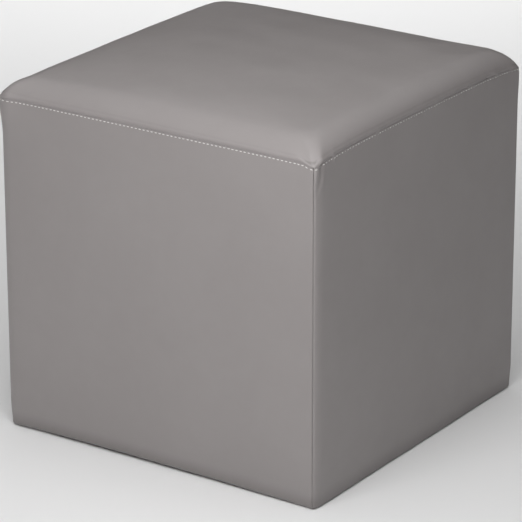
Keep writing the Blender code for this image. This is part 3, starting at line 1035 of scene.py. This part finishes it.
CAMERA_AZIMUTH = math.radians(34.3)
CAMERA_ELEVATION = math.radians(20.7)
CAMERA_ROLL = math.radians(-0.1)
CAMERA_DISTANCE = 3.6
CAMERA_TARGET = Vector((0.0, 0.0, 0.2))
CAMERA_AIM = (-0.0031, -0.0268)  # how far to the right of and above the target it is aimed
CAMERA_SEES = 100.0
FOCAL_PIXELS = 3305.0
PICTURE_PIXELS = 522
SENSOR_WIDTH = 36.0


def direction(azimuth, elevation):
    """Unit vector towards a place seen from the stool; azimuth 0 is straight in front."""
    level = math.cos(elevation)
    return Vector((math.sin(azimuth) * level, -math.cos(azimuth) * level, math.sin(elevation)))


def make_camera():
    back = direction(CAMERA_AZIMUTH, CAMERA_ELEVATION)
    right = Vector((math.cos(CAMERA_AZIMUTH), math.sin(CAMERA_AZIMUTH), 0.0))
    up = back.cross(right)
    place = CAMERA_TARGET + back * CAMERA_DISTANCE + right * CAMERA_AIM[0] + up * CAMERA_AIM[1]
    turn = Matrix((right, up, back)).transposed().to_4x4()
    data = bpy.data.cameras.new("camera")
    data.sensor_width = SENSOR_WIDTH
    data.lens = FOCAL_PIXELS * SENSOR_WIDTH / PICTURE_PIXELS
    data.clip_end = CAMERA_SEES
    camera = bpy.data.objects.new("camera", data)
    camera.matrix_world = Matrix.Translation(place) @ turn @ Matrix.Rotation(CAMERA_ROLL, 4, "Z")
    bpy.context.scene.collection.objects.link(camera)
    bpy.context.scene.camera = camera


# A lamp looks at the middle of the stool, or so far behind it, and spreads its light so wide.
# Angles are in degrees.
Softbox = namedtuple(
    "Softbox", "name azimuth elevation distance width height watts behind spread", defaults=(0.0, 180)
)
SOFTBOXES = (
    Softbox("key", azimuth=0, elevation=30, distance=1.7, width=0.8, height=0.7, watts=6.8),
    Softbox("near_corner", azimuth=35, elevation=35, distance=1.1, width=0.5, height=0.5, watts=3.4),
    Softbox("near_above", azimuth=20, elevation=50, distance=1.1, width=0.5, height=0.5, watts=1.5),
    Softbox("overhead", azimuth=30, elevation=85, distance=2.6, width=1.4, height=1.4, watts=7.2),
    Softbox("ceiling", azimuth=180, elevation=89.9, distance=5.0, width=16.0, height=16.0, watts=440),
    Softbox(
        "backdrop", azimuth=34, elevation=89, distance=2.0, width=2.4, height=2.0, watts=14.6,
        behind=2.2, spread=80,
    ),
)


def add_softbox(box):
    back = direction(math.radians(box.azimuth), math.radians(box.elevation))
    data = bpy.data.lights.new(box.name, "AREA")
    data.shape = "RECTANGLE"
    data.size, data.size_y = box.width, box.height
    data.energy = box.watts
    data.spread = math.radians(box.spread)
    light = bpy.data.objects.new(box.name, data)
    away = Vector((-math.sin(CAMERA_AZIMUTH), math.cos(CAMERA_AZIMUTH), 0.0))
    aim = away * box.behind + Vector((0.0, 0.0, SEAM_HEIGHT / 2))
    light.location = aim + back * box.distance
    light.rotation_euler = back.to_track_quat("Z", "Y").to_euler()
    bpy.context.scene.collection.objects.link(light)


FLOOR_REACH = 12.0
FLOOR_GREY = (0.8, 0.8, 0.8, 1.0)
FLOOR_ROUGHNESS = 0.8


def make_floor():
    nodes = Nodes("pale_floor")
    unevenness = nodes.bump(nodes.noise(scale=300), distance=0.05 * MM, strength=0.2)
    material = nodes.finish(FLOOR_GREY, FLOOR_ROUGHNESS, unevenness)
    corners = FLOOR_REACH * np.array([(-1, -1, 0), (1, -1, 0), (1, 1, 0), (-1, 1, 0)])
    floor = add_piece("floor", corners, [[0, 1, 2, 3]], material)


WORLD_SEEN = 0.8  # the world is seen by the camera, but it lights nothing
WHITE = (1.0, 1.0, 1.0, 1.0)


def make_world():
    world = bpy.data.worlds.new("studio")
    world.use_nodes = True
    tree = world.node_tree
    background = tree.nodes["Background"]
    background.inputs["Color"].default_value = WHITE
    seen = tree.nodes.new("ShaderNodeLightPath")
    strength = tree.nodes.new("ShaderNodeMath")
    strength.operation = "MULTIPLY"
    strength.inputs[1].default_value = WORLD_SEEN
    tree.links.new(seen.outputs["Is Camera Ray"], strength.inputs[0])
    tree.links.new(strength.outputs["Value"], background.inputs["Strength"])
    bpy.context.scene.world = world
    bpy.context.scene.view_settings.view_transform = "Standard"


# ------------------------------------------------------------------------------------ assembly


def main():
    settled_sides = [settle_side(index) for index in range(len(PANELS))]
    for index, panel in enumerate(PANELS):
        cover = make_side_cover(index, leather(panel.node + "_leather"), settled_sides[index])
        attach(cover, "root")
        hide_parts(panel.node)

    seat = make_seat_cover(leather("seat_leather"), settle_seat())
    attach(seat, "root")
    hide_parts("top_panel")

    stitches = make_stitches(thread("sewing_thread"), settled_sides)
    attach(stitches, "root")

    underside = make_underside(underside_cloth("underside_cloth"))
    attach(underside, "root")
    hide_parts("base_panel")

    make_floor()
    make_world()
    for box in SOFTBOXES:
        add_softbox(box)
    make_camera()


main()
